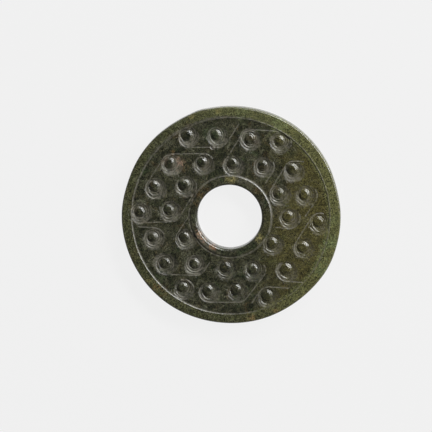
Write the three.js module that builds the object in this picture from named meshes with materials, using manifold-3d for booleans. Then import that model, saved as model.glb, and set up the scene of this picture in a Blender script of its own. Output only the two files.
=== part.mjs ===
// Jade bi disc: a flat ring of nephrite with a plain rim, a raised collar round its hole and a field of thirty
// linked curls between them. Millimetres, +Z up. The disc lies on its plainer face, with the origin under the
// centre of its hole. Each curl is a polished knob in a ring-shaped cut; fine incised lines wrap round the
// curls and run from one to the next, like belts over pulleys.
import * as THREE from 'three';
import { mergeVertices } from 'three/addons/utils/BufferGeometryUtils.js';
import Module from 'manifold-3d';

// ---- driving dimensions ----
const DISC_DIAMETER = 56;
const THICKNESS = 4.5;
const HOLE_DIAMETER = 16.6;
const CURL_PITCH = 7.69; // centre to centre along a row
const ROW_TURN = -3.4; // degrees that the rows of curls are turned about the hole

// ---- the turned blank: radii of its edges and the depths of its cuts ----
const DISC_RADIUS = DISC_DIAMETER / 2;
const HOLE_RADIUS = HOLE_DIAMETER / 2;
const FIELD_DROP = 0.22; // the carved field lies this far below the rim and the collar
const HOLE_BEVEL = { width: 0.8, drop: 0.65 };
const EDGE_BEVEL = { width: 0.7, drop: 0.6 };
const COLLAR_GROOVE = { radius: 10.6, halfWidth: 0.42, depth: 0.38 };
const RIM_GROOVE = { radius: 25.4, halfWidth: 0.28, depth: 0.36 };
const BLANK_SIDES = 80;
const OUTLINE_WANDER = 0.13; // how far the hand-cut outline leaves a true circle
const FLAT_TOLERANCE = 0.003; // needless corners on flat stretches are merged within this

// ---- curls ----
const KNOB_RADIUS = 1.68;
const FRONT_CUT = { sides: 14, radius: 2.34, floor: 0.34, shift: 0.22, knobDrop: 0.02, domeRings: [0.5, 0.8] };
const BACK_CUT = { sides: 8, radius: 2.3, floor: 0.2, shift: 0, knobDrop: 0.08, domeRings: [0.7] };
const CUT_BEARING = 225; // degrees: the ring-shaped cut is widest on this side of its knob

// The curls stand on a hexagonal lattice round the hole, whose two inner rings are left out. They were laid
// out by eye: each is written [column, drift right, drift up], the drift being how far it strays from its place.
const ROWS = new Map([
  [3, [[-3, -0.2, -0.1], [-2, -0.5, 0.4], [-1, 0.2, 0.1], [0, 0.3, 0.1]]],
  [2, [[-3, -0.4, -0.8], [-2, 0.1, -0.2], [-1, 0.3, -0.1], [0, 0.1, 0.1], [1, 0.2, -0.6]]],
  [1, [[-3, -0.2, -0.6], [-2, -0.2, 0.5], [1, 0.9, -0.2], [2, 0, 0.1]]],
  [0, [[-3, 0, -0.5], [-2, 0.1, 0.4], [2, -0.1, 0.7], [3, 0, -0.2]]],
  [-1, [[-2, 0, -0.2], [-1, 0.6, 0.1], [2, 0, 0.3], [3, 0.3, -0.2]]],
  [-2, [[-1, -0.2, -0.1], [0, -0.5, 0.2], [1, -0.2, -0.2], [2, -0.5, -0.1], [3, 0.2, 0.2]]],
  [-3, [[0, 0.7, 0.2], [1, -0.2, 0.1], [2, -0.6, 0.6], [3, -0.5, -0.2]]],
]);

// ---- incised lines ----
const LINE_RADIUS = 2.68; // distance of a line from the centre of a curl it wraps
const LINE_HALF_WIDTH = 0.19;
const LINE_DEPTH = 0.17;
const LINE_STEP = 0.95;

// Each line names the curls it wraps as [column, row, first bearing, last bearing], with bearings in degrees
// from the row direction. leadIn and leadOut are straight runs before the first curl and after the last.
const LINES = [
  { stops: [[-3, 3, 185, 270], [-2, 3, 270, 330]], leadOut: 5.6 },
  { stops: [[-3, 1, 265, 150], [-3, 2, 150, 90], [-2, 2, 90, 35]] },
  { stops: [[-1, 2, 275, 150], [-1, 3, 150, 90], [0, 3, 90, -20]] },
  { stops: [[0, 2, 30, -30]], leadOut: 3.2 },
  { stops: [[1, 1, 190, 150], [1, 2, 150, 90]], leadOut: 2.2 },
  { stops: [[-2, 1, 20, -30], [-2, 0, -30, -90], [-3, 0, -90, -165]] },
  { stops: [[-2, -1, 90, 25]], leadIn: 4.2 },
  { stops: [[-1, -1, 235, 150]], leadOut: 5.6 },
  { stops: [[-1, -2, 130, 270], [0, -2, 270, 330]], leadOut: 2.6 },
  { stops: [[0, -3, 110, -15]] },
  { stops: [[1, -3, 170, 270], [2, -3, 270, 330], [2, -2, 330, 395]] },
  { stops: [[3, -3, 150, 90]], leadIn: 3.6, leadOut: 5.0 },
  { stops: [[3, -2, 165, 270]], leadOut: 4.8 },
  { stops: [[2, 1, 40, -30]], leadOut: 4.6 },
  { stops: [[3, -1, 235, 150], [3, 0, 150, 75]] },
  { stops: [[2, 0, 270, 385]], leadIn: 3.6 },
];

const wasm = await Module();
wasm.setup();

const radians = THREE.MathUtils.degToRad;

/** Turns a closed three.js geometry into a manifold solid, without the slivers a lathe leaves on its axis. */
function solid(geometry) {
  const bare = geometry.clone();
  bare.deleteAttribute('normal');
  bare.deleteAttribute('uv');
  const merged = mergeVertices(bare, 1e-4);
  const corners = [];
  const index = merged.index.array;
  for (let n = 0; n < index.length; n += 3) {
    const [a, b, c] = [index[n], index[n + 1], index[n + 2]];
    if (a !== b && b !== c && c !== a) corners.push(a, b, c);
  }
  return new wasm.Manifold(new wasm.Mesh({
    numProp: 3,
    vertProperties: new Float32Array(merged.attributes.position.array),
    triVerts: new Uint32Array(corners),
  }));
}

/** Revolves a profile of [radius, height] pairs round the Z axis. */
function turned(profile, sides) {
  const points = profile.map(([radius, height]) => new THREE.Vector2(radius, height));
  return new THREE.LatheGeometry(points, sides).rotateX(Math.PI / 2);
}

/** Half of the blank's profile, from the bore to the outer wall, as [radius, depth below the face]. */
function faceProfile() {
  const groove = ({ radius, halfWidth, depth }, innerDrop, outerDrop) => [
    [radius - halfWidth, innerDrop],
    [radius, depth],
    [radius + halfWidth, outerDrop],
  ];
  return [
    [HOLE_RADIUS, HOLE_BEVEL.drop],
    [HOLE_RADIUS + HOLE_BEVEL.width, 0],
    ...groove(COLLAR_GROOVE, 0, FIELD_DROP),
    ...groove(RIM_GROOVE, FIELD_DROP, 0),
    [DISC_RADIUS - EDGE_BEVEL.width, 0],
    [DISC_RADIUS, EDGE_BEVEL.drop],
  ];
}

/** The hand-cut outline: even waves only, so that opposite edges match and the box stays centred. */
function outlineScale(angle, radius) {
  const wave = 0.6 * Math.cos(2 * angle + radians(70)) + 0.4 * Math.cos(6 * angle + radians(20)) - 1;
  const reach = THREE.MathUtils.smoothstep(radius, RIM_GROOVE.radius, DISC_RADIUS);
  return 1 + (OUTLINE_WANDER * reach * wave) / DISC_RADIUS;
}

function blank() {
  const face = faceProfile();
  const back = face.map(([radius, drop]) => [radius, drop]);
  const front = face.map(([radius, drop]) => [radius, THICKNESS - drop]).reverse();
  const outline = [...back, ...front, back[0]];
  const geometry = turned(outline, BLANK_SIDES);
  const position = geometry.attributes.position;
  for (let n = 0; n < position.count; n += 1) {
    const [x, y] = [position.getX(n), position.getY(n)];
    const scale = outlineScale(Math.atan2(y, x), Math.hypot(x, y));
    position.setXY(n, x * scale, y * scale);
  }
  return solid(geometry);
}

/** Centre of the curl in a column and row of the turned hexagonal lattice, with its drift. */
function curlCentre(column, row) {
  const along = radians(ROW_TURN);
  const up = radians(ROW_TURN + 60);
  const [, driftX, driftY] = ROWS.get(row).find(([place]) => place === column);
  return new THREE.Vector2(
    CURL_PITCH * (column * Math.cos(along) + row * Math.cos(up)) + driftX,
    CURL_PITCH * (column * Math.sin(along) + row * Math.sin(up)) + driftY,
  );
}

function curlCentres() {
  return [...ROWS].flatMap(([row, curls]) => curls.map(([column]) => curlCentre(column, row)));
}

/** The stone standing above the field from which one knob is cut, with its top at height 0. */
function knobPad(cut) {
  const height = 2 * FIELD_DROP;
  return new THREE.CylinderGeometry(KNOB_RADIUS, KNOB_RADIUS, height, cut.sides)
    .rotateX(Math.PI / 2)
    .translate(0, 0, -height / 2);
}

/** What is cut away round and over one knob: a ring-shaped trough that drifts towards CUT_BEARING. */
function curlCutter(cut) {
  const floor = -FIELD_DROP - cut.floor;
  const crown = -cut.knobDrop;
  const dome = (share) => [KNOB_RADIUS * share, crown + (floor - crown) * share ** 2.4];
  const clear = 1;
  const geometry = turned([
    [0, crown], ...cut.domeRings.map(dome), dome(1),
    [cut.radius, -FIELD_DROP],
    [cut.radius + 0.1, clear],
    [0, clear],
  ], cut.sides);
  const position = geometry.attributes.position;
  for (let n = 0; n < position.count; n += 1) {
    const [x, y] = [position.getX(n), position.getY(n)];
    const drift = cut.shift * THREE.MathUtils.smoothstep(Math.hypot(x, y), KNOB_RADIUS, cut.radius);
    const bearing = radians(CUT_BEARING);
    position.setXY(n, x + drift * Math.cos(bearing), y + drift * Math.sin(bearing));
  }
  return solid(geometry);
}

/** The path of one incised line over the field: arcs round its curls, straight between them. */
function linePath({ stops, leadIn = 0, leadOut = 0 }) {
  const path = new THREE.CurvePath();
  const joinTo = (point) => {
    if (last && last.distanceTo(point) > 1e-3) path.add(new THREE.LineCurve3(last, point));
    last = point;
  };
  let last = null;
  stops.forEach(([column, row, first, final], n) => {
    const centre = curlCentre(column, row);
    const turn = Math.sign(final - first);
    const on = (bearing) => {
      const angle = radians(bearing + ROW_TURN);
      return new THREE.Vector3(
        centre.x + LINE_RADIUS * Math.cos(angle), centre.y + LINE_RADIUS * Math.sin(angle), 0);
    };
    const heading = (bearing) => {
      const angle = radians(bearing + 90 * turn + ROW_TURN);
      return new THREE.Vector3(Math.cos(angle), Math.sin(angle), 0);
    };
    if (n === 0 && leadIn) last = on(first).addScaledVector(heading(first), -leadIn);
    joinTo(on(first));
    const steps = Math.ceil(Math.abs(final - first) / 20);
    for (let step = 1; step <= steps; step += 1) joinTo(on(first + ((final - first) * step) / steps));
    if (n === stops.length - 1 && leadOut) joinTo(on(final).addScaledVector(heading(final), leadOut));
  });
  return path;
}

/** A V-shaped groove along a line's path; the cutter widens above the field at the same slope. */
function lineCutter(line) {
  const path = linePath(line);
  const above = 0.1;
  const slope = LINE_HALF_WIDTH / LINE_DEPTH;
  const mouth = LINE_HALF_WIDTH + above * slope;
  const section = new THREE.Shape([
    new THREE.Vector2(LINE_DEPTH, 0),
    new THREE.Vector2(-above, mouth),
    new THREE.Vector2(-above, -mouth),
  ]);
  const steps = Math.ceil(path.getLength() / LINE_STEP);
  const geometry = new THREE.ExtrudeGeometry(section, { steps, extrudePath: path });
  return solid(geometry).translate([0, 0, THICKNESS - FIELD_DROP]);
}

/** One solid of stone: the blank, its knobs on both faces, and the incised lines of the front. */
function jadeDisc() {
  const centres = curlCentres();
  const place = (shape) => centres.map(({ x, y }) => shape.translate([x, y, 0]));
  const lift = (shape) => shape.translate([0, 0, THICKNESS]);
  const turnOver = (shape) => shape.rotate([180, 0, 0]);
  const pads = [
    ...place(lift(solid(knobPad(FRONT_CUT)))),
    ...place(turnOver(solid(knobPad(BACK_CUT)))),
  ];
  const cutters = [
    ...place(lift(curlCutter(FRONT_CUT))),
    ...place(turnOver(curlCutter(BACK_CUT))),
  ];
  const lines = LINES.map(lineCutter);
  let stone = blank();
  stone = stone.subtract(wasm.Manifold.union(lines));
  stone = stone.add(wasm.Manifold.union(pads));
  stone = stone.subtract(wasm.Manifold.union(cutters));
  return stone.asOriginal().simplify(FLAT_TOLERANCE);
}

/** A three.js mesh of a manifold solid. */
function stoneMesh(name, shape, material) {
  const { vertProperties, triVerts } = shape.getMesh();
  const geometry = new THREE.BufferGeometry();
  geometry.setAttribute('position', new THREE.BufferAttribute(vertProperties, 3));
  geometry.setIndex(new THREE.BufferAttribute(triVerts, 1));
  geometry.computeVertexNormals();
  const mesh = new THREE.Mesh(geometry, material);
  mesh.name = name;
  return mesh;
}

const jade = new THREE.MeshStandardMaterial({ color: 0x4a4a38, roughness: 0.3, metalness: 0 });

const biDisc = new THREE.Group();
biDisc.add(stoneMesh('jade_disc', jadeDisc(), jade));

export default biDisc;
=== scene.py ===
"""Jade bi disc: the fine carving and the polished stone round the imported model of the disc.

Lengths are millimetres inside the carving functions and metres in every Blender object.
"""

import math
from collections import namedtuple

import bpy
import numpy as np
from bpy.props import FloatProperty, FloatVectorProperty, IntProperty, PointerProperty
from mathutils import Matrix, Vector
from mathutils.geometry import delaunay_2d_cdt


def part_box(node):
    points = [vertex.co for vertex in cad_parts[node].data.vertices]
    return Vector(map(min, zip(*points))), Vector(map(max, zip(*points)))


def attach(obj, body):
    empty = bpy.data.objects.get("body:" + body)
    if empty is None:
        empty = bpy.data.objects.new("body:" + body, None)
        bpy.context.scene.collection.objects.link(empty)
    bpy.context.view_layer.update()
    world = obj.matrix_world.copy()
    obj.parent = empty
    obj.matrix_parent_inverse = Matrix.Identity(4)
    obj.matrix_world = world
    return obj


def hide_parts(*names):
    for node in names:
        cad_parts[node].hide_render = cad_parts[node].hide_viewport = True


bl_info = {
    "name": "Jade Bi Disc",
    "version": (1, 0, 0),
    "blender": (4, 5, 0),
    "location": "View3D > Sidebar > Bi Disc",
    "description": "Carves and polishes a jade disc with linked curls",
    "category": "Add Mesh",
}

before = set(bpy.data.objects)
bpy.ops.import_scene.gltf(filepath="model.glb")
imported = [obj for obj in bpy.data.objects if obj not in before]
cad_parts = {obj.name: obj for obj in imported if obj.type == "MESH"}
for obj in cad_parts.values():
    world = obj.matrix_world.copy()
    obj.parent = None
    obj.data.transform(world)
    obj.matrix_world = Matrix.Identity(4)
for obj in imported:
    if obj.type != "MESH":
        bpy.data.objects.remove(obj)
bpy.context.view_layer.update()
STONE = "jade_disc"
MM = 0.001

# ---- the curls and lines of the front face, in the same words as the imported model's source ----
# Each curl is (column, drift right, drift up): its place on the lattice and how far it strays from it.
ROWS = {
    3: [(-3, -0.2, -0.1), (-2, -0.5, 0.4), (-1, 0.2, 0.1), (0, 0.3, 0.1)],
    2: [(-3, -0.4, -0.8), (-2, 0.1, -0.2), (-1, 0.3, -0.1), (0, 0.1, 0.1), (1, 0.2, -0.6)],
    1: [(-3, -0.2, -0.6), (-2, -0.2, 0.5), (1, 0.9, -0.2), (2, 0, 0.1)],
    0: [(-3, 0, -0.5), (-2, 0.1, 0.4), (2, -0.1, 0.7), (3, 0, -0.2)],
    -1: [(-2, 0, -0.2), (-1, 0.6, 0.1), (2, 0, 0.3), (3, 0.3, -0.2)],
    -2: [(-1, -0.2, -0.1), (0, -0.5, 0.2), (1, -0.2, -0.2), (2, -0.5, -0.1), (3, 0.2, 0.2)],
    -3: [(0, 0.7, 0.2), (1, -0.2, 0.1), (2, -0.6, 0.6), (3, -0.5, -0.2)],
}
# Each arm is a broad shallow cut outside a curl:
# (column, row, first bearing, last bearing, inner radius, outer radius).
ARMS = [
    (-1, -2, 105, 240, 2.5, 3.65), (-1, 3, 60, 190, 2.5, 3.1), (3, -2, 120, 235, 2.5, 3.2),
    (-1, 2, 120, 240, 2.5, 3.1), (1, -3, 150, 250, 2.5, 3.1), (-3, 1, 120, 250, 2.5, 3.0),
]
# Each line is (lead in, its stops, lead out); a stop is (column, row, first bearing, last bearing).
LINES = [
    (0, [(-3, 3, 185, 270), (-2, 3, 270, 330)], 5.6),
    (0, [(-3, 1, 265, 150), (-3, 2, 150, 90), (-2, 2, 90, 35)], 0),
    (0, [(-1, 2, 275, 150), (-1, 3, 150, 90), (0, 3, 90, -20)], 0),
    (0, [(0, 2, 30, -30)], 3.2),
    (0, [(1, 1, 190, 150), (1, 2, 150, 90)], 2.2),
    (0, [(-2, 1, 20, -30), (-2, 0, -30, -90), (-3, 0, -90, -165)], 0),
    (4.2, [(-2, -1, 90, 25)], 0),
    (0, [(-1, -1, 235, 150)], 5.6),
    (0, [(-1, -2, 130, 270), (0, -2, 270, 330)], 2.6),
    (0, [(0, -3, 110, -15)], 0),
    (0, [(1, -3, 170, 270), (2, -3, 270, 330), (2, -2, 330, 395)], 0),
    (3.6, [(3, -3, 150, 90)], 5.0),
    (0, [(3, -2, 165, 270)], 4.8),
    (0, [(2, 1, 40, -30)], 4.6),
    (0, [(3, -1, 235, 150), (3, 0, 150, 75)], 0),
    (3.6, [(2, 0, 270, 385)], 0),
]

# ---- the cuts of the two faces, in millimetres; a depth is below the plane of the rim ----
INSIDE_CAD = 0.01  # the stone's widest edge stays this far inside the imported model's
HOLE_BEVEL = (0.8, 0.65)  # width, drop
EDGE_BEVEL = (0.5, 0.45)
COLLAR_GROOVE = (10.6, 0.4, 0.17)  # radius, half width, depth below its two sides
RIM_GROOVE = (25.4, 0.3, 0.13)
RIM_FALL = (1.6, 0.05)  # the rim is worn down towards its edge: width, drop
RIM_STEP = 0.08  # how much lower the rim lies on its worn side
# A narrow ledge just outside the rim's groove: (bearing, half width in degrees, depth)
LEDGE = (112, 40, 0.04)
LEDGE_FADES = (25.8, 26.2)  # radii between which the ledge fades out
# Parts of the collar that are left matt and so paler: partly unpolished stone, partly a painted highlight
# along the groove's wall that faces the key lamp: (bearing, half width in degrees, mattness)
ROUGH_COLLAR_AND_PAINTED_HIGHLIGHT = [(226, 24, 0.6), (68, 16, 0.45)]
LINE_HALF_WIDTH = 0.2
ARM_DEPTH = 0.2
KNOB_PERCH = (-0.52, 0.36)  # a knob's top stands off the middle of its cut
KNOB_SLOPE = (0.42, 1.1)  # where its flank starts and ends, as shares of its foot's radius
KNOB_UNEVEN = (0.028, 0.85)  # height and wavelength of the unevenness of a knob
CURL_EXTENT = 3.3  # nothing of a curl's own cut lies further from its centre
CURL_WIDEST = 238  # bearing on which a cut reaches furthest out, in degrees
WALL_WIDTH = 0.95  # from the floor of a cut up to its outer edge
MARK_PITCH = 0.6  # from one turn of the tool's carved spiral to the next
FINE_TOOL_MARK = 0.55  # the same for the fainter spiral that only the polish shows
CARVING_SCALE = 0.992  # the carving is laid out a little small and off centre on the blank
CARVING_SHIFT = (-0.12, -0.17)
CARVING_SHIFT_FADES = (RIM_GROOVE[0] + 0.35, 27.4)  # radii between which that shift fades out
HOLE_SHIFT = (-0.27, -0.19)  # and the hole was drilled off its centre
HOLE_SHIFT_FADES = (8.6, COLLAR_GROOVE[0] - 0.3)
TAIL_SWEEP = (-55, 105)  # where a comma's tail starts and ends, in degrees from the widest side of the cut
TAIL_HALF_WIDTH = 0.26
TAIL_COURSE = (0.85, 0.3)  # how far inside the cut's edge the tail starts, and how much nearer it ends
# Where the outline was ground flatter or left fuller: (bearing, half width in degrees, millimetres)
FLATS = [
    (332, 13, 0.3), (13, 11, -0.2), (122, 10, -0.14), (163, 11, -0.2), (215, 28, 0.12), (300, 14, -0.12),
    (107, 4, 0.15),
]
# Old chips along the front edge of the hole: (bearing, half width in degrees, depth)
CHIPS = [(207, 5, 0.12), (221, 4, 0.18), (238, 4, 0.14), (250, 5, 0.07), (318, 5, 0.08)]
WORN_SIDE = 50  # bearing of the side on which the borders are polished down and softest, in degrees
# A tiny drilled ring beside a curl: (column, row, right, up, radius)
SMALL_RING = (-2, 3, -1.28, -2.59, 0.6)
SMALL_RING_CUT = (0.3, 0.14)  # half width, depth
# Gentle unevenness of the polished faces: (height, wavelength)
FRONT_UNEVEN = [(0.018, 7), (0.006, 2.4)]
BACK_UNEVEN = (0.016, 8)
CORNER_MATT = 0.15  # mattness of the rounded corners and of the walls between them
EDGE_RINGS = 7  # rings of mesh points round each rounded corner of the outline and of the hole
FINEST_NEAR, FINER_NEAR = 0.05, 0.3  # how near an edge the front mesh is halved twice, and once
FINE_RING = (1.7, 0.9)  # radius and half width of the ring of finest mesh round each curl
FAR = 9.0  # stands for any distance too great to matter
SEED = 11  # each kind of unevenness adds a number of its own

# ---- the stage, in metres ----
FLOOR_HALF = 3.0
FLOOR_GLOW = 0.965
ROOM_LIGHT = 0.07
KEY_LAMP = (0.85, 0.14)
KEY_DISTANCE = 0.7

Curl = namedtuple("Curl", "x y perch knob moat bearing stretch lean tail marks pale")
Cut = namedtuple("Cut", "moat floor shift perch crown tail marks")


def length(name, description, millimetres):
    """A size that a user can change, shown in scene units."""
    return FloatProperty(name=name, description=description, default=millimetres * MM, subtype="DISTANCE",
                         unit="LENGTH", precision=5)


def colour(name, description, *rgb):
    """A colour property from display values of 0 to 255."""
    return FloatVectorProperty(name=name, description=description, default=[linear(c) for c in rgb], size=3,
                               min=0, max=1, subtype="COLOR")


def linear(level):
    """One display level of 0 to 255 as linear light."""
    share = level / 255
    return share / 12.92 if share <= 0.04045 else ((share + 0.055) / 1.055) ** 2.4


class DiscSizes(bpy.types.PropertyGroup):
    """Sizes of the turned blank and its carving."""

    diameter: length("Diameter", "Across the disc before its outline was ground by hand", 56)
    thickness: length("Thickness", "From the rim of one face to the rim of the other", 4.5)
    hole: length("Hole", "Across the hole at its narrowest", 16.6)
    field_drop: length("Field drop", "How far the carved field lies below the rim", 0.22)
    wander: length("Outline wander", "How far the outline leaves a true circle", 0.13)
    pitch: length("Curl pitch", "From one curl to the next along a row", 7.69)
    knob: length("Knob radius", "Radius of a knob at its foot", 1.68)
    line_radius: length("Line radius", "From the centre of a curl to a line wrapped round it", 2.68)
    line_depth: length("Line depth", "Depth of an incised line below the field", 0.17)
    row_turn: FloatProperty(name="Row turn", description="Turn of the rows of curls about the hole",
                            default=math.radians(-3.4), subtype="ANGLE", unit="ROTATION")
    front_mesh: length("Front mesh", "Widest spacing of mesh points on the front face", 0.52)
    back_mesh: length("Back mesh", "Widest spacing of mesh points on the back face", 0.66)
    sides: IntProperty(name="Outline sides", description="Mesh points round the outline", default=480, min=80)


class JadeColours(bpy.types.PropertyGroup):
    """Colours of the stone and of what time has done to it."""

    body: colour("Body", "Dark grey-green of most of the stone", 52, 52, 38)
    deep: colour("Deep cloud", "Darkest green clouds", 27, 29, 19)
    pale: colour("Pale cloud", "Lightest greyish clouds", 82, 82, 68)
    brown: colour("Brown cloud", "Warm brown clouds", 70, 57, 36)
    green: colour("Green cloud", "Greener clouds", 47, 59, 37)
    olive: colour("Olive side", "Olive of the right-hand side", 75, 70, 36)
    # Also laid on most thickly towards the key lamp, where it is painted light
    rim: colour("Rim", "Thinner, lighter stone of the rim", 87, 89, 56)
    leaf: colour("Leaf green", "Clear green patches near the edge", 92, 102, 68)
    matt: colour("Matt cut", "Unpolished stone in the cuts", 110, 106, 94)
    straw: colour("Straw", "Pale yellowish altered patches", 112, 106, 68)
    tan: colour("Tan", "Tan altered patches", 104, 85, 54)
    rust: colour("Rust", "Rust-coloured stains", 130, 91, 64)
    bone: colour("Bone", "Pinkish altered patches", 148, 121, 100)


class StageLook(bpy.types.PropertyGroup):
    """Floor, lights and camera."""

    floor: colour("Floor", "Pale floor", 240, 240, 240)
    key_power: FloatProperty(name="Key power", description="Power of the key light in watts",
                             default=10.0, min=0)
    key_bearing: FloatProperty(name="Key bearing", description="Where the key light stands, from the right",
                               default=math.radians(42), subtype="ANGLE", unit="ROTATION")
    key_lean: FloatProperty(name="Key lean", description="Angle of the key light from overhead",
                            default=math.radians(52), subtype="ANGLE", unit="ROTATION")
    view_bearing: FloatProperty(name="View bearing", description="Side that the camera leans towards",
                                default=math.radians(68), subtype="ANGLE", unit="ROTATION")
    view_lean: FloatProperty(name="View lean", description="Angle of the camera from overhead",
                             default=math.radians(8.5), subtype="ANGLE", unit="ROTATION")
    view_distance: length("View distance", "From the camera to the disc", 600)
    view_width: length("View width", "Width that the camera takes in at the disc", 109.83)
    view_offset: length("View offset", "How far left of the disc's centre the camera looks", 3.78)


def smooth(value, low, high):
    """A smooth rise from 0 at low to 1 at high."""
    share = np.clip((value - low) / (high - low), 0, 1)
    return share * share * (3 - 2 * share)


def bump(value, centre, half_width):
    """A rounded bump of height 1 at centre, gone at half_width on either side."""
    share = np.clip(1 - ((value - centre) / half_width) ** 2, 0, 1)
    return share ** 1.5


def lopsided(value, centre, half_width, lean):
    """A bump whose outer side is longer than its inner side by twice the lean."""
    side = np.where(value < centre, half_width - lean, half_width + lean)
    return np.clip(1 - ((value - centre) / side) ** 2, 0, 1) ** 1.5


def turned_from(angle, centre):
    """How far an angle lies from a centre, between -pi and pi."""
    return (angle - centre + math.pi) % (2 * math.pi) - math.pi


def around(angle, bearing, half_width):
    """A soft share that is 1 at one bearing and fades over half_width degrees to either side."""
    off = turned_from(angle, math.radians(bearing))
    return np.exp(-((off / math.radians(half_width)) ** 2))


def ripple(x, y, wavelength, seed, waves=9):
    """Gentle unevenness between about -1 and 1, the same each time for one seed."""
    draw = np.random.default_rng(seed)
    total = np.zeros_like(x)
    for _ in range(waves):
        angle, phase = draw.uniform(0, 2 * np.pi, 2)
        number = 2 * np.pi / (wavelength * draw.uniform(0.7, 1.5))
        total += np.sin(number * (x * np.cos(angle) + y * np.sin(angle)) + phase)
    return total / np.sqrt(waves * 2)


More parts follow.
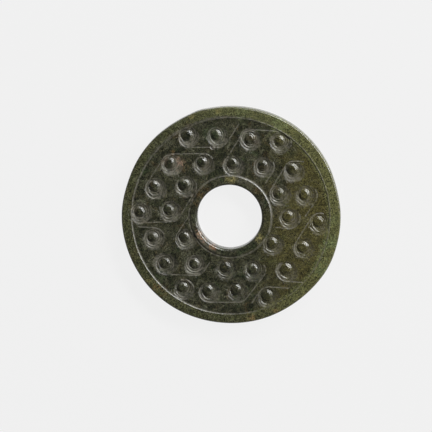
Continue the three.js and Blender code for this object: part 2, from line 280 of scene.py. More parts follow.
class Carving:
    """The relief of the disc: how deep each face is cut at any place, and how matt the stone is there."""

    def __init__(self, sizes):
        self.radius = sizes.diameter / MM / 2 - INSIDE_CAD
        self.hole = sizes.hole / MM / 2
        self.thickness = sizes.thickness / MM
        self.field = sizes.field_drop / MM
        self.wander = sizes.wander / MM
        self.pitch = sizes.pitch / MM
        self.knob = sizes.knob / MM
        self.line_radius = sizes.line_radius / MM
        self.line_depth = sizes.line_depth / MM
        self.turn = sizes.row_turn
        self.front_cut = Cut(moat=2.64, floor=0.26, shift=0.26, perch=1, crown=0.04, tail=0.12,
                             marks=0.034)
        self.back_cut = Cut(moat=2.4, floor=0.2, shift=0, perch=0, crown=0.08, tail=0, marks=0)
        self.curls = self.lay_out_curls()

    def centre(self, column, row):
        """Centre of the curl in a column and row of the turned hexagonal lattice."""
        drift = next(entry for entry in ROWS[row] if entry[0] == column)
        up = self.turn + math.radians(60)
        return (self.pitch * (column * math.cos(self.turn) + row * math.cos(up)) + drift[1],
                self.pitch * (column * math.sin(self.turn) + row * math.sin(up)) + drift[2])

    def lay_out_curls(self):
        """Every curl, each a little different in size and turn, as one hand cuts them."""
        draw = np.random.default_rng(SEED)
        curls = []
        for row, entries in ROWS.items():
            for column, _, _ in entries:
                x, y = self.centre(column, row)
                curls.append(Curl(
                    x, y,
                    perch=(KNOB_PERCH[0] + draw.uniform(-0.2, 0.16),
                           KNOB_PERCH[1] + draw.uniform(-0.18, 0.18)),
                    knob=self.knob * draw.uniform(0.84, 1.02),
                    moat=draw.uniform(-0.08, 0.08),
                    bearing=math.radians(CURL_WIDEST + draw.uniform(-25, 25)),
                    stretch=draw.uniform(0.02, 0.07),
                    lean=draw.uniform(0, math.pi),
                    tail=draw.uniform(0.3, 1.2),
                    marks=draw.uniform(0.6, 1.6),
                    pale=draw.uniform(0.6, 0.9) * (1 - 0.5 * smooth(x - y, 4, 22)),
                ))
        return curls

    def outline(self, angle, radius):
        """Scale that turns a true circle into the hand-ground outline near the rim."""
        wave = 0.6 * np.cos(2 * angle + math.radians(70)) + 0.4 * np.cos(6 * angle + math.radians(20)) - 1
        wave = self.wander * wave + 0.15 * np.sin(2 * angle) - 0.02
        for bearing, half_width, amount in FLATS:
            wave = wave + amount * around(angle, bearing, half_width)
        return 1 + smooth(radius, RIM_GROOVE[0], self.radius) * wave / self.radius

    def borders(self, angle, radius):
        """Depth and mattness of the plain rim, the collar and the field between them."""
        inside = smooth(radius, COLLAR_GROOVE[0] - 0.1, COLLAR_GROOVE[0] + 2.2)
        outside = smooth(radius, RIM_GROOVE[0] - 2.8, RIM_GROOVE[0] + 0.1)
        soft_side = np.cos(angle - math.radians(WORN_SIDE))
        collar = lopsided(radius, COLLAR_GROOVE[0], COLLAR_GROOVE[1], 0.12 * np.clip(soft_side, 0, 1))
        rim = lopsided(radius, RIM_GROOVE[0] - 0.03, RIM_GROOVE[1], 0.13 * soft_side)
        rim = rim * (1 - 0.6 * around(angle, 295, 30))
        worn = RIM_FALL[1] * smooth(radius, self.radius - RIM_FALL[0], self.radius - EDGE_BEVEL[0]) ** 2
        ground_down = smooth(soft_side, -0.35, 0.3)
        step = RIM_STEP * ground_down * smooth(radius, RIM_GROOVE[0] - 0.05, RIM_GROOVE[0] + 0.25)
        sunk = COLLAR_GROOVE[2] * collar * (1 + 0.5 * np.clip(-soft_side, 0, 1))
        sunk = sunk + RIM_GROOVE[2] * rim * (1 - ground_down)
        depth = self.field * inside * (1 - outside) + sunk + step + worn
        ledge_bearing, ledge_half_width, ledge_depth = LEDGE
        ledge = smooth(radius, RIM_GROOVE[0], RIM_GROOVE[0] + 0.2) * (1 - smooth(radius, *LEDGE_FADES))
        ledge = ledge * around(angle, ledge_bearing, ledge_half_width)
        # Paler matt stretches of the collar: partly unpolished stone, partly a painted highlight where its
        # wall faces the key lamp
        rough = sum(share * around(angle, bearing, half_width) for bearing, half_width, share in ROUGH_COLLAR_AND_PAINTED_HIGHLIGHT)
        rough = rough * smooth(radius, 8.7, 9.4) * (1 - smooth(radius, 10.5, 11.2))
        matt = np.maximum(np.maximum(0.9 * collar, rim), np.maximum(0.6 * ledge, rough))
        return depth + ledge_depth * ledge, matt

    def cut_curls(self, x, y, depth, matt, near, cut, mirrored):
        """Sinks a ring-shaped cut round every knob and rounds the knob that is left in its middle."""
        floor = self.field + cut.floor
        near_rim = 1 - smooth(np.hypot(x, y), RIM_GROOVE[0] - 0.5, RIM_GROOVE[0] - 0.05)
        for curl in self.curls:
            centre_y = -curl.y if mirrored else curl.y
            here = np.flatnonzero(np.hypot(x - curl.x, y - centre_y) < CURL_EXTENT)
            dx, dy = x[here] - curl.x, y[here] - centre_y
            angle, away = np.arctan2(dy, dx), np.hypot(dx, dy)
            dx, dy = dx - cut.perch * curl.perch[0], dy - cut.perch * curl.perch[1]
            near[here] = np.stack([dx, dy, np.zeros_like(dx)], 1)
            top_angle, from_top = np.arctan2(dy, dx), np.hypot(dx, dy)
            foot = curl.knob * (1 + curl.stretch * np.cos(2 * (top_angle - curl.lean)))
            reach = cut.moat + curl.moat + cut.shift * np.cos(angle - curl.bearing)
            reach += 0.08 * np.sin(3 * angle + 9 * curl.lean) + 0.06 * np.sin(5 * angle + 5 * curl.lean)
            climb = np.clip(1 - (reach - away) / WALL_WIDTH, 0, 1)
            moat = self.field + cut.floor * (1 - climb ** 1.3)
            if cut.tail:
                moat -= self.tail(angle, away, reach, curl) * cut.tail * curl.tail
            border = depth[here]
            share = near_rim[here]
            ground = np.where(away < reach, border + np.maximum(moat - border, 0) * share, border)
            flank = smooth(from_top / foot, *KNOB_SLOPE)
            dome = cut.crown + (floor + 0.02 - cut.crown) * flank
            inside = (from_top < foot) & (away < reach)
            uneven, wavelength = KNOB_UNEVEN
            dome = dome + uneven * (1 + ripple(x[here], y[here], wavelength, SEED + 7)) * share
            spiral = from_top / MARK_PITCH - top_angle / (2 * np.pi) + curl.lean
            marks = smooth(from_top, 0.15, 0.8) * (1 - smooth(away, reach - 0.2, reach))
            worn = 0.65 + 0.35 * ripple(x[here], y[here], 1.5, SEED + 6)
            marks = cut.marks * curl.marks * marks * share * worn * (1 + np.sin(2 * np.pi * spiral))
            depth[here] = np.where(inside, dome, ground) + marks
            rough = 0.5 * smooth(from_top, foot * 0.5, foot * 0.75)
            rough += 0.5 * smooth(from_top, foot * 0.8, foot * 1.1)
            rough = curl.pale * rough * (1 - smooth(away, reach - 0.1, reach + 0.3))
            matt[here] = np.maximum(matt[here], rough)

    def tail(self, angle, away, reach, curl):
        """The comma's tail: a low ridge that leaves the knob and winds out to the edge of its cut."""
        start, end = (math.radians(side) for side in TAIL_SWEEP)
        turned = turned_from(curl.bearing, angle)
        share = np.clip((turned - start) / (end - start), 0, 1)
        middle = reach - TAIL_COURSE[0] + TAIL_COURSE[1] * share
        return bump(away, middle, TAIL_HALF_WIDTH) * np.sin(np.pi * share) ** 0.6

    def cut_arms(self, x, y, depth, matt):
        """Broad shallow cuts that sweep round the outside of some curls, deepest next to the curl."""
        for column, row, first, last, inner, outer in ARMS:
            cx, cy = self.centre(column, row)
            angle, away = np.arctan2(y - cy, x - cx), np.hypot(x - cx, y - cy)
            middle, half = math.radians((first + last) / 2), math.radians((last - first) / 2)
            off = abs(turned_from(angle, middle)) / half
            reach = inner + (outer - inner) * np.sqrt(np.clip(1 - off ** 2, 0, 1))
            share = np.clip((reach - away) / (outer - inner), 0, 1)
            share = np.where((off < 1) & (away > inner - 0.3), share, 0)
            depth += ARM_DEPTH * share
            matt[:] = np.maximum(matt, smooth(share, 0, 0.2))

    def line_pieces(self, line):
        """The arcs and straights of one incised line, as (kind, values...)."""
        lead_in, stops, lead_out = line
        pieces, last = [], None
        for order, (column, row, first, final) in enumerate(stops):
            x, y = self.centre(column, row)
            turn = 1 if final > first else -1

            def on(bearing):
                angle = math.radians(bearing) + self.turn
                return Vector((x + self.line_radius * math.cos(angle),
                               y + self.line_radius * math.sin(angle)))

            def heading(bearing):
                angle = math.radians(bearing + 90 * turn) + self.turn
                return Vector((math.cos(angle), math.sin(angle)))

            if order == 0 and lead_in:
                last = on(first) - heading(first) * lead_in
            if last is not None:
                pieces.append(("straight", last, on(first)))
            middle = math.radians((first + final) / 2) + self.turn
            pieces.append(("arc", (x, y), middle, math.radians(abs(final - first) / 2)))
            last = on(final)
            if order == len(stops) - 1 and lead_out:
                pieces.append(("straight", last, last + heading(final) * lead_out))
        return pieces

    def distance_to_lines(self, x, y):
        """Distance of every place from the nearest incised line."""
        nearest = np.full(x.shape, FAR)
        for line in LINES:
            for kind, *values in self.line_pieces(line):
                if kind == "arc":
                    (cx, cy), middle, half = values
                    dx, dy = x - cx, y - cy
                    off = turned_from(np.arctan2(dy, dx), middle)
                    away = np.where(abs(off) <= half, abs(np.hypot(dx, dy) - self.line_radius), FAR)
                else:
                    start, end = values
                    run = end - start
                    share = ((x - start.x) * run.x + (y - start.y) * run.y) / run.length_squared
                    share = np.clip(share, 0, 1)
                    away = np.hypot(x - start.x - share * run.x, y - start.y - share * run.y)
                nearest = np.minimum(nearest, away)
        return nearest

    def from_small_ring(self, x, y):
        """Distance of every place from the middle of the tiny drilled ring."""
        column, row, right, up, _ = SMALL_RING
        ring_x, ring_y = self.centre(column, row)
        return np.hypot(x - ring_x - right, y - ring_y - up)

    def front(self, x, y):
        """Depth and mattness of the front face, and each place's offset from the nearest knob's top."""
        radius = np.hypot(x, y)
        depth, matt = self.borders(np.arctan2(y, x), radius)
        near = np.full((len(x), 3), FAR)
        away = self.distance_to_lines(x, y)
        strength = 0.85 + 0.25 * ripple(x, y, 5, SEED + 1)
        notch = np.clip(1 - away / LINE_HALF_WIDTH, 0, 1) ** 1.2 * strength
        on_field = (radius > COLLAR_GROOVE[0]) & (radius < RIM_GROOVE[0])
        depth = np.where(on_field, np.maximum(depth, self.field + self.line_depth * notch), depth)
        matt = np.where(on_field, np.maximum(matt, 1 - smooth(away, 0.1, LINE_HALF_WIDTH)), matt)
        groove = bump(self.from_small_ring(x, y), SMALL_RING[4], SMALL_RING_CUT[0])
        depth += SMALL_RING_CUT[1] * groove
        matt = np.maximum(matt, groove)
        self.cut_arms(x, y, depth, matt)
        self.cut_curls(x, y, depth, matt, near, self.front_cut, mirrored=False)
        (broad, wide), (fine, narrow) = FRONT_UNEVEN
        uneven = broad * (1 + ripple(x, y, wide, SEED + 2)) + fine * (1 + ripple(x, y, narrow, SEED + 3))
        depth += np.clip(uneven, 0, None)
        return depth + self.chips(x, y), matt, near

    def back(self, x, y):
        """The same for the plainer back face."""
        depth, matt = self.borders(np.arctan2(y, x), np.hypot(x, y))
        near = np.full((len(x), 3), FAR)
        self.cut_curls(x, y, depth, matt, near, self.back_cut, mirrored=True)
        uneven, wavelength = BACK_UNEVEN
        depth += np.clip(uneven * (1 + ripple(x, y, wavelength, SEED + 4)), 0, None)
        return depth, matt, near

    def chips(self, x, y):
        """Small old chips along the front edge of the hole, most of them on its lower left."""
        angle, radius = np.arctan2(y, x), np.hypot(x, y)
        total = np.zeros_like(x)
        for bearing, half_width, depth in CHIPS:
            bite = around(angle, bearing, half_width)
            total += depth * bite * (1 - smooth(radius, self.hole + 0.4, self.hole + 1.5))
        return total


def hexagonal_points(carving, spacing, levels, wanted_level):
    """Mesh places over a face: a hexagonal grid, halved level by level where the carving asks for it."""
    finest = spacing / 2 ** levels
    count = int(carving.radius / finest) + 2
    rise = math.sqrt(3) / 2
    rows = np.arange(-int(count / rise), int(count / rise) + 1)
    j, i = np.meshgrid(rows, np.arange(-2 * count, 2 * count + 1), indexing="ij")
    x, y = (i + j / 2) * finest, j * rise * finest
    inside = np.hypot(x, y)
    keep = (inside > carving.hole + HOLE_BEVEL[0]) & (inside < carving.radius - EDGE_BEVEL[0])
    x, y, i, j = x[keep], y[keep], i[keep], j[keep]
    level = np.full(x.shape, levels)
    for step in range(1, levels + 1):
        level[(i % 2 ** step == 0) & (j % 2 ** step == 0)] = levels - step
    chosen = level <= wanted_level(x, y)
    draw = np.random.default_rng(SEED + 5)
    x, y = x[chosen], y[chosen]
    shake = 0.04 * finest
    return x + draw.uniform(-shake, shake, x.shape), y + draw.uniform(-shake, shake, y.shape)


def settle(x, y):
    """Moves places of the carving to where they lie on the blank, off centre as the hole is."""
    radius = np.hypot(x, y)
    inside = 1 - smooth(radius, *CARVING_SHIFT_FADES)
    at_hole = 1 - smooth(radius, *HOLE_SHIFT_FADES)
    scale = 1 + (CARVING_SCALE - 1) * inside
    return (x * scale + CARVING_SHIFT[0] * inside + HOLE_SHIFT[0] * at_hole,
            y * scale + CARVING_SHIFT[1] * inside + HOLE_SHIFT[1] * at_hole)


def ring_points(radius, sides):
    """Evenly spaced places round a circle."""
    angle = np.arange(sides) * 2 * np.pi / sides
    return radius * np.cos(angle), radius * np.sin(angle)


def face_mesh(carving, spacing, levels, wanted_level, inner_sides, outer_sides):
    """Flat triangles over one face. The ring round the hole comes first, then the ring at the edge."""
    inner = ring_points(carving.hole + HOLE_BEVEL[0], inner_sides)
    outer = ring_points(carving.radius - EDGE_BEVEL[0], outer_sides)
    x, y = hexagonal_points(carving, spacing, levels, wanted_level)
    radius = np.hypot(x, y)
    gap = spacing / 3
    clear = (radius > carving.hole + HOLE_BEVEL[0] + gap) & (radius < carving.radius - EDGE_BEVEL[0] - gap)
    x = np.concatenate([inner[0], outer[0], x[clear]])
    y = np.concatenate([inner[1], outer[1], y[clear]])
    flat = [Vector(place) for place in zip(x.tolist(), y.tolist())]
    found, _, triangles, sources, _, _ = delaunay_2d_cdt(flat, [], [], 0, 1e-7, True)
    if len(found) != len(flat):
        raise RuntimeError("two mesh points of a face fell together")
    source = np.array([entry[0] for entry in sources])
    triangles = source[np.array(triangles)]
    over_hole = (triangles < inner_sides).all(axis=1)
    return x, y, triangles[~over_hole]


def front_level(carving):
    """Finer mesh on the curls, and finest along every edge of a cut."""
    def wanted(x, y):
        radius = np.hypot(x, y)
        edge = carving.distance_to_lines(x, y) - LINE_HALF_WIDTH
        edge = np.minimum(edge, abs(radius - COLLAR_GROOVE[0]) - COLLAR_GROOVE[1])
        edge = np.minimum(edge, abs(radius - RIM_GROOVE[0]) - RIM_GROOVE[1])
        edge = np.minimum(edge, carving.from_small_ring(x, y) - 0.8)
        for curl in carving.curls:
            away = np.hypot(x - curl.x, y - curl.y)
            edge = np.minimum(edge, abs(away - FINE_RING[0]) - FINE_RING[1])
            edge = np.where(away < curl.knob, np.minimum(edge, 0.1), edge)
        return np.where(edge < FINEST_NEAR, 2, np.where(edge < FINER_NEAR, 1, 0))
    return wanted


def back_level(carving):
    """Finer mesh on the knobs and along the borders of the back."""
    def wanted(x, y):
        radius = np.hypot(x, y)
        edge = abs(radius - COLLAR_GROOVE[0]) - COLLAR_GROOVE[1]
        edge = np.minimum(edge, abs(radius - RIM_GROOVE[0]) - RIM_GROOVE[1])
        for curl in carving.curls:
            edge = np.minimum(edge, np.hypot(x - curl.x, y + curl.y) - 2.4)
        return np.where(edge < 0.1, 1, 0)
    return wanted


def band(first, second):
    """Triangles between two rings of the same number of points."""
    after_first, after_second = np.roll(first, -1), np.roll(second, -1)
    return np.concatenate([np.stack([first, second, after_second], 1),
                           np.stack([first, after_second, after_first], 1)])


def stone_mesh(sizes):
    """The whole disc as one closed mesh, with a mattness value at every point."""
    carving = Carving(sizes)
    outer_sides = sizes.sides
    inner_sides = outer_sides // 2
    places, matts, nears, triangles = [], [], [], []
    total = 0

    def add(x, y, z, matt, near=None):
        nonlocal total
        x, y = settle(x, y)
        places.append(np.stack([x, y, z], 1))
        matts.append(matt)
        nears.append(np.full((len(x), 3), FAR) if near is None else near)
        total += len(x)
        return np.arange(total - len(x), total)

    faces = []
    for spacing, levels, level, relief, up in (
            (sizes.front_mesh / MM, 2, front_level(carving), carving.front, True),
            (sizes.back_mesh / MM, 1, back_level(carving), carving.back, False)):
        x, y, flat = face_mesh(carving, spacing, levels, level, inner_sides, outer_sides)
        depth, matt, near = relief(x, y)
        scale = carving.outline(np.arctan2(y, x), np.hypot(x, y))
        height = carving.thickness - depth if up else depth
        points = add(x * scale, y * scale, height, matt, near)
        triangles.append(points[flat] if up else points[flat][:, ::-1])
        faces.append((points[:inner_sides], points[inner_sides:inner_sides + outer_sides], height))

    for which, sides, bevel, base in ((0, inner_sides, HOLE_BEVEL, carving.hole),
                                      (1, outer_sides, EDGE_BEVEL, carving.radius)):
        outward = 1 if which else -1
        start = 0 if which == 0 else inner_sides
        front_height = faces[0][2][start:start + sides]
        back_height = faces[1][2][start:start + sides]
        rings = [faces[0][which]]
        for corner, height, way in ((range(1, EDGE_RINGS + 1), front_height, -1),
                                    (range(EDGE_RINGS, 0, -1), back_height, 1)):
            for step in corner:
                turn = math.pi / 2 * step / EDGE_RINGS
                reach = bevel[0] * math.sin(turn)
                radius = base + outward * (reach - bevel[0])
                ring_x, ring_y = ring_points(radius, sides)
                z = height + way * bevel[1] * (1 - math.cos(turn))
                scale = carving.outline(np.arctan2(ring_y, ring_x), radius)
                rings.append(add(ring_x * scale, ring_y * scale, z, np.full(sides, CORNER_MATT)))
        rings.append(faces[1][which])
        for first, second in zip(rings, rings[1:]):
            joined = band(first, second)
            triangles.append(joined if which else joined[:, ::-1])

    mesh = bpy.data.meshes.new(STONE + "_stone")
    points = np.concatenate(places) * MM
    corners = np.concatenate(triangles)
    mesh.vertices.add(len(points))
    mesh.vertices.foreach_set("co", points.astype(np.float32).ravel())
    mesh.loops.add(corners.size)
    mesh.loops.foreach_set("vertex_index", corners.astype(np.int32).ravel())
    mesh.polygons.add(len(corners))
    mesh.polygons.foreach_set("loop_start", np.arange(0, corners.size, 3, dtype=np.int32))
    mesh.update(calc_edges=True)
    if mesh.validate():
        raise RuntimeError("the disc's mesh has bad faces")
    mesh.shade_smooth()
    layer = mesh.attributes.new("matt", "FLOAT", "POINT")
    layer.data.foreach_set("value", np.concatenate(matts).astype(np.float32))
    layer = mesh.attributes.new("curl_place", "FLOAT_VECTOR", "POINT")
    layer.data.foreach_set("vector", np.concatenate(nears).astype(np.float32).ravel())
    return mesh


class Nodes:
    """Short calls for building one material's node tree."""

    def __init__(self, tree):
        self.tree = tree

    def add(self, kind, inputs=None, **settings):
        node = self.tree.nodes.new(kind)
        for name, value in settings.items():
            setattr(node, name, value)
        for name, value in (inputs or {}).items():
            self.feed(node.inputs[name], value)
        return node

    def feed(self, socket, value):
        """Links an output into a socket, or sets the socket to a plain value."""
        if isinstance(value, bpy.types.NodeSocket):
            self.tree.links.new(value, socket)
        else:
            socket.default_value = value

    def math(self, operation, first, second=0.0, clamp=False):
        node = self.add("ShaderNodeMath", {0: first, 1: second}, operation=operation, use_clamp=clamp)
        return node.outputs[0]

    def shift(self, place, far):
        """The same coordinates moved far away, so that a second noise differs from the first."""
        return self.add("ShaderNodeVectorMath", {0: place, 1: (far, -far, far)}, operation="ADD").outputs[0]

    def remap(self, value, low, high, to_low=0.0, to_high=1.0):
        """value from the range low..high to the range to_low..to_high, smoothly and clamped."""
        node = self.add("ShaderNodeMapRange", {"Value": value, "From Min": low, "From Max": high,
                                               "To Min": to_low, "To Max": to_high},
                        interpolation_type="SMOOTHSTEP")
        return node.outputs["Result"]

    def blend(self, share, below, above):
        """Colour below, covered by colour above as far as share says."""
        node = self.add("ShaderNodeMix", data_type="RGBA", clamp_factor=True)
        self.feed(node.inputs[0], share)
        self.feed(node.inputs[6], below)
        self.feed(node.inputs[7], above)
        return node.outputs[2]

    def noise(self, place, size, detail=4.0, roughness=0.55, distortion=0.0):
        """Cloudy noise whose blotches are about size millimetres across."""
        node = self.add("ShaderNodeTexNoise", {"Vector": place, "Scale": 1 / size, "Detail": detail,
                                               "Roughness": roughness, "Distortion": distortion})
        return node.outputs["Fac"]


# Patches that differ from the stone round them: (bearing, distance from the centre, size, colour, strength)
PATCHES = [
    (224, 26.8, 1.7, "tan", 0.55), (219, 26.9, 1.3, "straw", 0.6), (230, 26.7, 1.2, "tan", 0.45),
    (112, 27.2, 1.2, "straw", 0.6), (97, 27.1, 1.3, "straw", 0.6), (281, 27.0, 1.2, "tan", 0.6),
    (295, 26.9, 1.0, "tan", 0.5), (88, 9.3, 1.5, "straw", 0.9), (94, 9.3, 1.2, "straw", 0.6),
    (46, 9.3, 1.3, "brown", 0.8), (147, 9.6, 1.9, "brown", 0.9), (211, 9.3, 1.3, "bone", 1.0),
    (222, 9.2, 1.1, "bone", 0.9), (240, 9.3, 1.1, "rust", 0.8), (322, 9.2, 1.1, "straw", 0.9),
    (134.0, 18.7, 1.8, "bone", 0.85), (133.3, 21.5, 1.3, "tan", 0.6), (141, 21.9, 1.6, "bone", 0.2),
    (133, 9.6, 1.7, "brown", 0.6), (160, 9.6, 1.6, "brown", 0.5), (344, 26.4, 3.2, "leaf", 0.6),
    (330, 26.6, 3.0, "leaf", 0.6), (358, 26.2, 2.5, "leaf", 0.25),
    (62, 26.6, 3.4, "leaf", 0.45), (84, 26.6, 3.0, "leaf", 0.35),
]


def altered_patches(n, base, flat, matt, strands, grain, tint):
    """The stone's colour with every ragged patch of altered stone laid over it."""
    for bearing, distance, size, name, strength in PATCHES:
        angle = math.radians(bearing)
        centre = (distance * math.cos(angle), distance * math.sin(angle), 0.0)
        gap = n.add("ShaderNodeVectorMath", {0: flat, 1: centre}, operation="DISTANCE").outputs["Value"]
        ragged = n.math("ADD", gap, n.math("MULTIPLY", n.math("SUBTRACT", strands, 0.5), size * 4.0))
        ragged = n.math("ADD", ragged, n.math("MULTIPLY", n.math("SUBTRACT", grain, 0.5), size * 2.0))
        share = n.remap(ragged, size * 0.95, size * 0.2, 0, strength)
        if name == "bone":
            share = n.math("MULTIPLY", share, n.remap(matt, 0.0, 0.5, 0.25, 1.0))
        base = n.blend(share, base, tint(name))
    return base


def fine_tool_marks(n, strands, clots):
    """A wave that winds round each knob among the carved marks, worn away in places."""
    near = n.add("ShaderNodeAttribute", attribute_type="GEOMETRY", attribute_name="curl_place")
    near = n.add("ShaderNodeSeparateXYZ", {0: near.outputs["Vector"]})
    curl_x, curl_y = near.outputs["X"], near.outputs["Y"]
    turn_share = n.math("DIVIDE", n.math("ARCTAN2", curl_y, curl_x), 2 * math.pi)
    squares = n.math("ADD", n.math("MULTIPLY", curl_x, curl_x), n.math("MULTIPLY", curl_y, curl_y))
    out = n.math("SQRT", squares)
    wobble = n.math("MULTIPLY", n.math("SUBTRACT", strands, 0.5), 1.6)
    turns = n.math("ADD", n.math("SUBTRACT", n.math("DIVIDE", out, FINE_TOOL_MARK), turn_share), wobble)
    wave = n.math("SINE", n.math("MULTIPLY", turns, 2 * math.pi))
    reach = n.math("MULTIPLY", n.remap(out, 0.5, 1.0), n.remap(out, 2.85, 2.45))
    return n.math("MULTIPLY", wave, n.math("MULTIPLY", reach, n.remap(clots, 0.4, 0.6, 0.2, 1.0)))


def jade_material(colours):
    """Polished nephrite: clouded dark green, olive to one side, matt and paler in its cuts."""
    material = bpy.data.materials.new("polished_jade")
    material.use_nodes = True
    tree = material.node_tree
    tree.nodes.clear()
    n = Nodes(tree)

    def tint(name):
        return (*getattr(colours, name), 1.0)

    place = n.add("ShaderNodeTexCoord").outputs["Object"]
    place = n.add("ShaderNodeVectorMath", {0: place, 1: (1 / MM,) * 3}, operation="MULTIPLY").outputs[0]
    split = n.add("ShaderNodeSeparateXYZ", {0: place})
    across, up = split.outputs["X"], split.outputs["Y"]
    flat = n.add("ShaderNodeCombineXYZ", {"X": across, "Y": up, "Z": 0.0}).outputs[0]
    radius = n.add("ShaderNodeVectorMath", {0: flat}, operation="LENGTH").outputs["Value"]
    matt = n.add("ShaderNodeAttribute", attribute_type="GEOMETRY", attribute_name="matt").outputs["Fac"]

    broad = n.noise(place, 9.0, detail=3.0, distortion=0.6)
    cloud = n.noise(place, 2.4, detail=6.0, roughness=0.66, distortion=1.2)
    warm = n.noise(n.shift(place, 31.0), 3.4, detail=5.0, roughness=0.6, distortion=0.8)
    grain = n.noise(place, 0.24, detail=2.0, roughness=0.7)
    clots = n.noise(n.shift(place, 91.0), 0.7, detail=4.0, roughness=0.6)
    strands = n.noise(n.shift(place, 57.0), 1.5, detail=4.0, roughness=0.6, distortion=1.5)

    base = n.blend(n.remap(cloud, 0.36, 0.56), tint("deep"), tint("body"))
    base = n.blend(n.remap(cloud, 0.5, 0.72, 0, 0.75), base, tint("pale"))
    base = n.blend(n.remap(warm, 0.54, 0.7, 0, 0.4), base, tint("brown"))
    base = n.blend(n.remap(warm, 0.46, 0.32, 0, 0.5), base, tint("green"))
    olive_side = n.math("ADD", across, n.math("MULTIPLY", n.math("SUBTRACT", broad, 0.5), 34.0))
    base = n.blend(n.remap(olive_side, 6.0, 22.0, 0, 0.62), base, tint("olive"))
    # The rim's lighter stone: its own colour everywhere, plus painted light laid on more thickly towards the
    # upper right where the key lamp stands, and reaching further in on the right
    rim = n.math("SUBTRACT", radius, n.remap(across, 0.0, 16.0, 0.0, -1.2))
    rim = n.remap(rim, RIM_GROOVE[0] - 0.3, RIM_GROOVE[0] + 0.6)
    key_lit_side = n.math("ADD", across, n.math("MULTIPLY", up, 0.4))
    rim_colour_and_painted_light = n.math("MULTIPLY", rim, n.remap(key_lit_side, -3.0, 9.0, 0.28, 0.6))
    base = n.blend(rim_colour_and_painted_light, base, tint("rim"))
    strand = n.math("ABSOLUTE", n.math("SUBTRACT", strands, 0.5))
    base = n.blend(n.remap(strand, 0.035, 0.0, 0, 0.45), base, tint("deep"))

    base = altered_patches(n, base, flat, matt, strands, grain, tint)

    speckle = n.add("ShaderNodeMix", data_type="RGBA", blend_type="MULTIPLY", clamp_factor=True)
    speckle.inputs[0].default_value = 1.0
    n.feed(speckle.inputs[6], base)
    specks = n.remap(grain, 0.33, 0.67, 0.05, 2.25)
    n.feed(speckle.inputs[7], n.math("MULTIPLY", specks, n.remap(clots, 0.3, 0.7, 0.74, 1.24)))
    base = speckle.outputs[2]

    tool_mark = fine_tool_marks(n, strands, clots)
    fresh = n.remap(n.noise(place, 0.6, detail=5.0, distortion=0.5), 0.36, 0.64, 0.0, 0.8)
    fresh = n.math("ADD", fresh, n.math("MULTIPLY", tool_mark, 0.6), clamp=True)
    base = n.blend(n.math("MULTIPLY", matt, fresh), base, tint("matt"))

    polish = n.remap(n.noise(place, 1.6, detail=5.0), 0.35, 0.7, 0.11, 0.24)
    roughness = n.math("ADD", polish, n.math("MULTIPLY", matt, 0.3), clamp=True)
    pits = n.remap(n.noise(place, 0.32, detail=3.0, roughness=0.65), 0.2, 0.5)
    grit = n.noise(place, 0.2, detail=2.0)
    height = n.math("MULTIPLY", pits, 0.4)
    coarse = n.math("ADD", n.math("MULTIPLY", matt, 0.7), 0.5)
    height = n.math("ADD", height, n.math("MULTIPLY", grit, coarse))
    height = n.math("ADD", height, n.math("MULTIPLY", tool_mark, 0.5))
    bumps = n.add("ShaderNodeBump", {"Strength": 0.7, "Distance": 0.06 * MM, "Height": height})
    shader = n.add("ShaderNodeBsdfPrincipled", {
        "Base Color": base,
        "Roughness": roughness,
        "Normal": bumps.outputs["Normal"],
        "IOR": 1.61,
        "Subsurface Weight": 0.18,
        "Subsurface Radius": (1.0, 1.0, 0.55),
        "Subsurface Scale": 0.9 * MM,
    })
    output = n.add("ShaderNodeOutputMaterial")
    n.feed(output.inputs["Surface"], shader.outputs[0])
    return material


def floor_material(colour_value):
    """Pale floor that is mostly its own light, so that it stays even, with a little of the room's."""
    material = bpy.data.materials.new("pale_floor")
    material.use_nodes = True
    tree = material.node_tree
    tree.nodes.clear()
    n = Nodes(tree)
    glow = n.add("ShaderNodeEmission", {"Color": (*colour_value, 1.0), "Strength": FLOOR_GLOW})
    paper = n.add("ShaderNodeBsdfDiffuse", {"Color": (0.03, 0.03, 0.03, 1.0)})
    both = n.add("ShaderNodeAddShader", {0: glow.outputs[0], 1: paper.outputs[0]})
    output = n.add("ShaderNodeOutputMaterial")
    n.feed(output.inputs["Surface"], both.outputs[0])
    return material


def direction(bearing, lean):
    """Unit vector that leans from overhead towards a bearing."""
    return Vector((math.sin(lean) * math.cos(bearing), math.sin(lean) * math.sin(bearing), math.cos(lean)))


def facing(back):
    """Rotation of a camera or lamp whose back points along back, with the picture's top towards +Y."""
    side = Vector((0, 1, 0)).cross(back).normalized()
    upright = back.cross(side)
    return Matrix((side, upright, back)).transposed()


class BIDISC_OT_stone(bpy.types.Operator):
    """Carve the disc with its curls and lines, and polish it"""

    bl_idname = "bi_disc.stone"
    bl_label = "Carve and polish the disc"

    def execute(self, context):
        mesh = stone_mesh(context.scene.bi_disc_sizes)
        disc = bpy.data.objects.new("jade_bi_disc", mesh)
        context.scene.collection.objects.link(disc)
        mesh.materials.append(jade_material(context.scene.bi_disc_colours))
        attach(disc, "root")
        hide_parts(STONE)
        return {"FINISHED"}


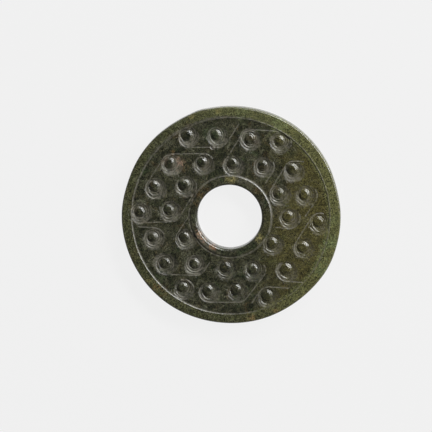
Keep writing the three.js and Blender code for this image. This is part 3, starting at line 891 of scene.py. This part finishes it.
class BIDISC_OT_stage(bpy.types.Operator):
    """Lay the floor and set the lights and the camera"""

    bl_idname = "bi_disc.stage"
    bl_label = "Set floor, lights and camera"

    def execute(self, context):
        scene, look = context.scene, context.scene.bi_disc_stage
        self.lay_floor(scene, look)
        self.light(scene, look)
        self.place_camera(scene, look)
        scene.view_settings.view_transform = "Standard"
        return {"FINISHED"}

    def lay_floor(self, scene, look):
        half = FLOOR_HALF
        mesh = bpy.data.meshes.new("floor")
        mesh.from_pydata([(-half, -half, 0), (half, -half, 0), (half, half, 0), (-half, half, 0)], [],
                         [(0, 1, 2, 3)])
        mesh.materials.append(floor_material(look.floor))
        floor = bpy.data.objects.new("floor", mesh)
        scene.collection.objects.link(floor)

    def light(self, scene, look):
        lamp = bpy.data.lights.new("key", "AREA")
        lamp.shape = "RECTANGLE"
        lamp.size, lamp.size_y = KEY_LAMP
        lamp.energy = look.key_power
        key = bpy.data.objects.new("key", lamp)
        towards = direction(look.key_bearing, look.key_lean)
        side = Vector((0, 0, 1)).cross(towards).normalized()
        turn = Matrix((side, towards.cross(side), towards)).transposed()
        key.matrix_world = Matrix.Translation(towards * KEY_DISTANCE) @ turn.to_4x4()
        scene.collection.objects.link(key)

        world = bpy.data.worlds.new("studio")
        world.use_nodes = True
        world.node_tree.nodes.clear()
        n = Nodes(world.node_tree)
        dim = n.add("ShaderNodeBackground", {"Color": (1.0, 1.0, 1.0, 1.0), "Strength": ROOM_LIGHT})
        seen = n.add("ShaderNodeBackground", {"Color": (*look.floor, 1.0), "Strength": 1.0})
        path = n.add("ShaderNodeLightPath")
        both = n.add("ShaderNodeMixShader", {0: path.outputs["Is Camera Ray"], 1: dim.outputs[0],
                                             2: seen.outputs[0]})
        output = n.add("ShaderNodeOutputWorld")
        n.feed(output.inputs["Surface"], both.outputs[0])
        scene.world = world

    def place_camera(self, scene, look):
        data = bpy.data.cameras.new("camera")
        data.lens = data.sensor_width * look.view_distance / look.view_width
        data.clip_start = 0.01
        data.clip_end = 20
        camera = bpy.data.objects.new("camera", data)
        back = direction(look.view_bearing, look.view_lean)
        turn = facing(back)
        _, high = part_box(STONE)
        middle = Vector((0, 0, high.z))
        aim = middle - turn.col[0] * look.view_offset
        camera.matrix_world = Matrix.Translation(aim + back * look.view_distance) @ turn.to_4x4()
        scene.collection.objects.link(camera)
        scene.camera = camera


class BIDISC_PT_panel(bpy.types.Panel):
    """The disc's making, step by step"""

    bl_idname = "BIDISC_PT_panel"
    bl_label = "Bi Disc"
    bl_space_type = "VIEW_3D"
    bl_region_type = "UI"
    bl_category = "Bi Disc"

    def draw(self, context):
        layout, scene = self.layout, context.scene
        for step, group in ((BIDISC_OT_stone, "bi_disc_sizes"), (None, "bi_disc_colours"),
                            (BIDISC_OT_stage, "bi_disc_stage")):
            box = layout.box()
            for name in getattr(scene, group).bl_rna.properties.keys():
                if name not in ("name", "rna_type"):
                    box.prop(getattr(scene, group), name)
            if step:
                box.operator(step.bl_idname)


CLASSES = (DiscSizes, JadeColours, StageLook, BIDISC_OT_stone, BIDISC_OT_stage, BIDISC_PT_panel)


def register():
    """Registers the classes and the scene's settings."""
    for kind in CLASSES:
        bpy.utils.register_class(kind)
    bpy.types.Scene.bi_disc_sizes = PointerProperty(type=DiscSizes)
    bpy.types.Scene.bi_disc_colours = PointerProperty(type=JadeColours)
    bpy.types.Scene.bi_disc_stage = PointerProperty(type=StageLook)


def unregister():
    """Takes the settings and the classes away again."""
    for group in ("bi_disc_sizes", "bi_disc_colours", "bi_disc_stage"):
        delattr(bpy.types.Scene, group)
    for kind in reversed(CLASSES):
        bpy.utils.unregister_class(kind)


def main():
    """Makes the disc and its stage."""
    register()
    bpy.ops.bi_disc.stone()
    bpy.ops.bi_disc.stage()


if __name__ == "__main__":
    main()
